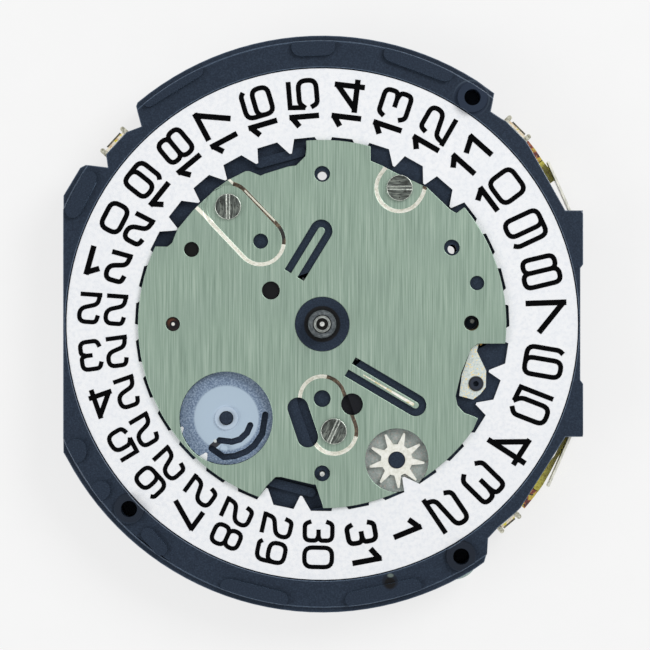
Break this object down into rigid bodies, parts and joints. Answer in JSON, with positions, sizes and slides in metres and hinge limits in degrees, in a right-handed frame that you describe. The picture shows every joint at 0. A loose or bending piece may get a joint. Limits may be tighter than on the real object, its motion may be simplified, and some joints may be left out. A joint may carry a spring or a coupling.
{
  "type": "quartz watch movement",
  "caption": "Quartz watch movement with a date ring under a brushed calendar plate, two coil motors, coin cell well, keyless works and a small hand.",
  "frame": {"origin": "on the common axis of the hands, in the plane that the dial sits on", "axes": "+Z out of the dial side along the hand arbors, +X towards the stem at three o'clock, +Y towards twelve o'clock"},
  "size_m": [0.0279, 0.031, 0.0056],
  "materials": {
    "plate_plastic": "moulded, faint matt grain",
    "calendar_steel": "vertical brushed",
    "ring_white": "satin off-white",
    "wheel_blue_grey": "satin, translucent",
    "star_white": "smooth",
    "clear_plastic": "clear, slightly frosted",
    "wheel_brass": "satin",
    "pinion_steel": "polished",
    "magnet": "ground",
    "stator_iron": "pickled",
    "former_grey": "moulded",
    "copper": "fine enamelled copper wire, wound",
    "gold": "gold flash",
    "bridge_plastic": "moulded, dark navy",
    "flex_yellow": "amber flexible film",
    "chip_black": "potting resin",
    "can_steel": "drawn can",
    "back_steel": "vertical brushed",
    "screw_steel": "turned head",
    "spring_steel": "stamped"
  },
  "bodies": {
    "frame": {"main_plate": "plate_plastic", "calendar_plate": "calendar_steel", "centre_bush": "plate_plastic", "centre_bridge": "wheel_brass", "stator_a": "stator_iron", "stator_b": "stator_iron", "coil_core_a": "stator_iron", "coil_core_b": "stator_iron", "coil_former_a": "former_grey", "coil_former_b": "former_grey", "coil_winding_a": "copper", "coil_winding_b": "copper", "coil_terminal_a": "gold", "coil_terminal_b": "gold", "train_bridge": "bridge_plastic", "circuit_board": "flex_yellow", "ic_chip": "chip_black", "quartz_crystal": "can_steel", "contact_pins": "gold", "battery_side_spring": "spring_steel", "battery_post": "wheel_brass", "back_plate": "back_steel", "dial_screws": "screw_steel", "back_screws": "screw_steel", "rim_clips": "spring_steel"},
    "hour": {"hour_wheel": "wheel_brass"},
    "cannon": {"cannon_pinion": "pinion_steel"},
    "minute": {"minute_wheel": "wheel_brass"},
    "setting_idler": {"setting_idler": "wheel_brass"},
    "setting_wheel": {"setting_wheel": "wheel_brass"},
    "date_idler": {"date_idler": "wheel_brass"},
    "date_wheel": {"date_driving_wheel": "wheel_blue_grey"},
    "ring": {"date_ring": "ring_white"},
    "corrector": {"date_corrector_star": "star_white", "corrector_disc": "clear_plastic"},
    "jumper": {"date_jumper": "spring_steel"},
    "second": {"second_wheel": "pinion_steel"},
    "centre": {"centre_wheel": "wheel_brass"},
    "third": {"third_wheel": "wheel_brass"},
    "fifth": {"fifth_wheel": "wheel_brass"},
    "rotor_a": {"rotor_a": "magnet"},
    "small_hand": {"small_hand_wheel": "pinion_steel"},
    "counter": {"counter_wheel": "wheel_brass"},
    "rotor_b": {"rotor_b": "magnet"},
    "lever": {"setting_lever": "spring_steel"},
    "yoke": {"yoke": "spring_steel"},
    "clutch": {"sliding_pinion": "pinion_steel"},
    "pusher_upper": {"pusher_spring_upper": "spring_steel"},
    "pusher_lower": {"pusher_spring_lower": "spring_steel"},
    "minus_leaf": {"battery_minus_contact": "gold"}
  },
  "joints": [
    {"name": "hour_turn", "type": "hinge", "parent": "frame", "child": "hour", "pos_m": [0, 0, -0.0009], "axis": [0, 0, 1], "continuous": true},
    {"name": "cannon_turn", "type": "hinge", "parent": "frame", "child": "cannon", "pos_m": [0, 0, -0.00115], "axis": [0, 0, 1], "continuous": true},
    {"name": "minute_turn", "type": "hinge", "parent": "frame", "child": "minute", "pos_m": [0.003, 0.0013, -0.001], "axis": [0, 0, 1], "continuous": true},
    {"name": "setting_idler_turn", "type": "hinge", "parent": "frame", "child": "setting_idler", "pos_m": [0.00611, 0.00052, -0.001], "axis": [0, 0, 1], "continuous": true},
    {"name": "setting_wheel_turn", "type": "hinge", "parent": "frame", "child": "setting_wheel", "pos_m": [0.008, 0.00005, -0.001], "axis": [0, 0, 1], "continuous": true},
    {"name": "date_idler_turn", "type": "hinge", "parent": "frame", "child": "date_idler", "pos_m": [-0.00213, -0.00209, -0.001], "axis": [0, 0, 1], "continuous": true},
    {"name": "date_wheel_turn", "type": "hinge", "parent": "frame", "child": "date_wheel", "pos_m": [-0.00515, -0.00505, -0.001], "axis": [0, 0, 1], "continuous": true},
    {"name": "ring_turn", "type": "hinge", "parent": "frame", "child": "ring", "pos_m": [0, 0, -0.00045], "axis": [0, 0, 1], "continuous": true},
    {"name": "corrector_turn", "type": "hinge", "parent": "frame", "child": "corrector", "pos_m": [0.004, -0.0073, -0.001], "axis": [0, 0, 1], "continuous": true},
    {"name": "jumper_flex", "type": "hinge", "parent": "frame", "child": "jumper", "pos_m": [0.00835, -0.0012, -0.00046], "axis": [0, 0, 1], "range_deg": [-3, 0], "stiffness_Nm_per_rad": 0.002},
    {"name": "second_turn", "type": "hinge", "parent": "frame", "child": "second", "pos_m": [0, 0, -0.003], "axis": [0, 0, 1], "continuous": true},
    {"name": "centre_turn", "type": "hinge", "parent": "frame", "child": "centre", "pos_m": [0, 0, -0.00195], "axis": [0, 0, 1], "continuous": true},
    {"name": "third_turn", "type": "hinge", "parent": "frame", "child": "third", "pos_m": [0.00158, 0.00128, -0.001], "axis": [0, 0, 1], "continuous": true},
    {"name": "fifth_turn", "type": "hinge", "parent": "frame", "child": "fifth", "pos_m": [-0.0027, 0.00183, -0.001], "axis": [0, 0, 1], "continuous": true},
    {"name": "rotor_a_turn", "type": "hinge", "parent": "frame", "child": "rotor_a", "pos_m": [-0.00483, -0.00042, -0.001], "axis": [0, 0, 1], "continuous": true},
    {"name": "small_hand_turn", "type": "hinge", "parent": "frame", "child": "small_hand", "pos_m": [0, -0.008, -0.001], "axis": [0, 0, 1], "continuous": true},
    {"name": "counter_turn", "type": "hinge", "parent": "frame", "child": "counter", "pos_m": [-0.00205, -0.00755, -0.001], "axis": [0, 0, 1], "continuous": true},
    {"name": "rotor_b_turn", "type": "hinge", "parent": "frame", "child": "rotor_b", "pos_m": [-0.00298, -0.00903, -0.001], "axis": [0, 0, 1], "continuous": true},
    {"name": "lever_turn", "type": "hinge", "parent": "frame", "child": "lever", "pos_m": [0.00665, -0.0036, -0.00315], "axis": [0, 0, 1], "range_deg": [-10, 0]},
    {"name": "yoke_turn", "type": "hinge", "parent": "frame", "child": "yoke", "pos_m": [0.00912, 0.003, -0.0023], "axis": [0, 0, 1], "range_deg": [-9.6, 0]},
    {"name": "clutch_slide", "type": "slide", "parent": "frame", "child": "clutch", "axis": [1, 0, 0], "range_m": [-0.0004, 0]},
    {"name": "pusher_upper_flex", "type": "hinge", "parent": "frame", "child": "pusher_upper", "pos_m": [0.01366, 0.0033, -0.0026], "axis": [0, 0, 1], "range_deg": [0, 3], "stiffness_Nm_per_rad": 0.002},
    {"name": "pusher_lower_flex", "type": "hinge", "parent": "frame", "child": "pusher_lower", "pos_m": [0.01366, -0.0033, -0.0026], "axis": [0, 0, 1], "range_deg": [-3, 0], "stiffness_Nm_per_rad": 0.002},
    {"name": "minus_leaf_flex", "type": "hinge", "parent": "frame", "child": "minus_leaf", "pos_m": [0.0018, 0.00614, -0.00129], "axis": [0.9437, 0.3309, 0], "range_deg": [0, 2.5], "stiffness_Nm_per_rad": 0.002}
  ],
  "couplings": [
    {"joint": "cannon_turn", "follows": "hour_turn", "ratio": 12},
    {"joint": "minute_turn", "follows": "hour_turn", "ratio": -4},
    {"joint": "setting_idler_turn", "follows": "hour_turn", "ratio": 13.091},
    {"joint": "setting_wheel_turn", "follows": "hour_turn", "ratio": -8},
    {"joint": "date_idler_turn", "follows": "hour_turn", "ratio": -0.71429},
    {"joint": "date_wheel_turn", "follows": "hour_turn", "ratio": 0.5},
    {"joint": "corrector_turn", "follows": "ring_turn", "ratio": 6.8889},
    {"joint": "fifth_turn", "follows": "second_turn", "ratio": -5},
    {"joint": "rotor_a_turn", "follows": "second_turn", "ratio": 30},
    {"joint": "third_turn", "follows": "second_turn", "ratio": -0.13333},
    {"joint": "centre_turn", "follows": "second_turn", "ratio": 0.016667},
    {"joint": "counter_turn", "follows": "small_hand_turn", "ratio": -5},
    {"joint": "rotor_b_turn", "follows": "small_hand_turn", "ratio": 30},
    {"joint": "lever_turn", "follows": "clutch_slide", "rad_per_m": 436.3},
    {"joint": "yoke_turn", "follows": "clutch_slide", "rad_per_m": 416.7}
  ]
}
